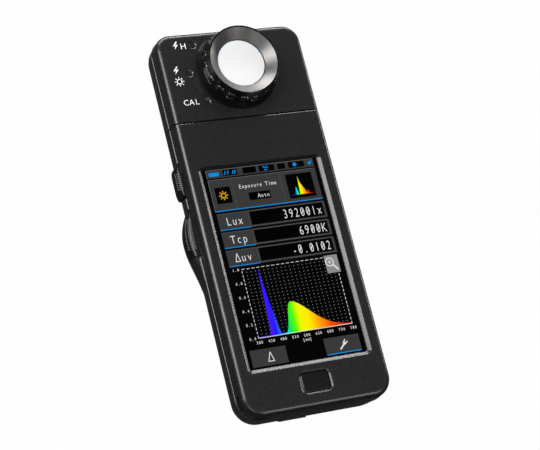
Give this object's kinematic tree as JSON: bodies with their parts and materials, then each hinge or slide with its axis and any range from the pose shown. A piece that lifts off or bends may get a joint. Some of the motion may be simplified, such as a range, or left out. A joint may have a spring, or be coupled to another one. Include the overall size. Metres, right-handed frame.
{
  "type": "handheld spectrometer",
  "caption": "Handheld light spectrometer with a colour screen, a swivelling head with a ribbed selector ring round a white diffuser, side buttons and a battery door.",
  "frame": {"origin": "on the flat back, on the middle plane, half way along the whole meter", "axes": "+X to the screen's right, +Y towards the receptor head, +Z out of the screen; the meter lies on its back"},
  "size_m": [0.0777, 0.1835, 0.039],
  "materials": {
    "shell_black": "fine-grained satin",
    "key_black": "matt",
    "rubber_black": "matt",
    "ring_black": "satin",
    "index_grey": "satin",
    "satin_metal": "satin metallic paint",
    "diffuser_white": "matt opal",
    "touch_glass": "polished, dark when off",
    "screen_dark": "satin",
    "foam_black": "foam",
    "plate_steel": "plain",
    "board_green": "solder mask",
    "switch_grey": "moulded",
    "brass": "turned",
    "spring_steel": "nickel plated",
    "cell_jacket": "printed sleeve",
    "bush_white": "moulded",
    "filter_grey": "polished, grey",
    "screw_black": "black oxide"
  },
  "bodies": {
    "body": {"front_cover": "shell_black", "rear_cover": "shell_black", "touch_panel": "touch_glass", "lcd_module": "screen_dark", "panel_gasket": "foam_black", "chassis_plate": "plate_steel", "contact_bridge": "plate_steel", "contact_plus": "plate_steel", "contact_minus": "plate_steel", "main_board": "board_green", "side_board": "board_green", "measure_switch": "switch_grey", "memory_switch": "switch_grey", "menu_switch": "switch_grey", "power_switch": "switch_grey", "harness_block": "switch_grey", "tripod_bush": "brass", "usb_socket": "spring_steel", "sync_socket": "spring_steel", "spring_left": "spring_steel", "spring_right": "spring_steel", "battery_left": "cell_jacket", "battery_right": "cell_jacket", "swivel_bearing": "bush_white", "body_screw_top_left": "screw_black", "body_screw_top_right": "screw_black", "body_screw_low_left": "screw_black", "body_screw_low_right": "screw_black"},
    "head": {"head_front_cover": "shell_black", "head_rear_cover": "shell_black", "swivel_hub": "spring_steel", "swivel_washer": "plate_steel", "swivel_clip": "spring_steel", "sensor_harness": "rubber_black", "receptor_core": "ring_black", "receptor_bezel": "satin_metal", "diffuser": "diffuser_white", "light_tube": "ring_black", "spectrometer_block": "ring_black", "sensor_board": "board_green", "head_screw_top_left": "screw_black", "head_screw_top_right": "screw_black", "head_screw_low_left": "screw_black", "head_screw_low_right": "screw_black"},
    "ring": {"selector_ring": "ring_black", "ring_index": "index_grey", "range_disc": "plate_steel", "grey_filter": "filter_grey"},
    "measure_key": {"measure_button": "key_black"},
    "memory_key": {"memory_button": "key_black"},
    "power_key": {"power_button": "key_black"},
    "menu_key": {"menu_button": "key_black"},
    "battery_door": {"battery_cover": "shell_black"},
    "flap": {"usb_flap": "rubber_black"}
  },
  "joints": [
    {"name": "head_swivel", "type": "hinge", "parent": "body", "child": "head", "pos_m": [0, 0.0474, 0.0135], "axis": [0, 1, 0], "range_deg": [-180, 90]},
    {"name": "ring_turn", "type": "hinge", "parent": "head", "child": "ring", "pos_m": [0, 0.0709, 0.027], "axis": [0, 0, 1], "range_deg": [-38, 38]},
    {"name": "measure_press", "type": "slide", "parent": "body", "child": "measure_key", "axis": [1, 0, 0], "range_m": [0, 0.0006], "stiffness_N_per_m": 2000, "springref_m": -0.0005},
    {"name": "memory_press", "type": "slide", "parent": "body", "child": "memory_key", "axis": [1, 0, 0], "range_m": [0, 0.0006], "stiffness_N_per_m": 2000, "springref_m": -0.0005},
    {"name": "power_press", "type": "slide", "parent": "body", "child": "power_key", "axis": [-1, 0, 0], "range_m": [0, 0.0006], "stiffness_N_per_m": 2000, "springref_m": -0.0005},
    {"name": "menu_press", "type": "slide", "parent": "body", "child": "menu_key", "axis": [0, 0, -1], "range_m": [0, 0.0005], "stiffness_N_per_m": 2000, "springref_m": -0.0005},
    {"name": "battery_door_slide", "type": "slide", "parent": "body", "child": "battery_door", "axis": [0, -1, 0], "range_m": [0, 0.01]},
    {"name": "usb_flap_hinge", "type": "hinge", "parent": "body", "child": "flap", "pos_m": [0.0362, -0.0377, 0.016], "axis": [0, 0, -1], "range_deg": [0, 100]}
  ]
}
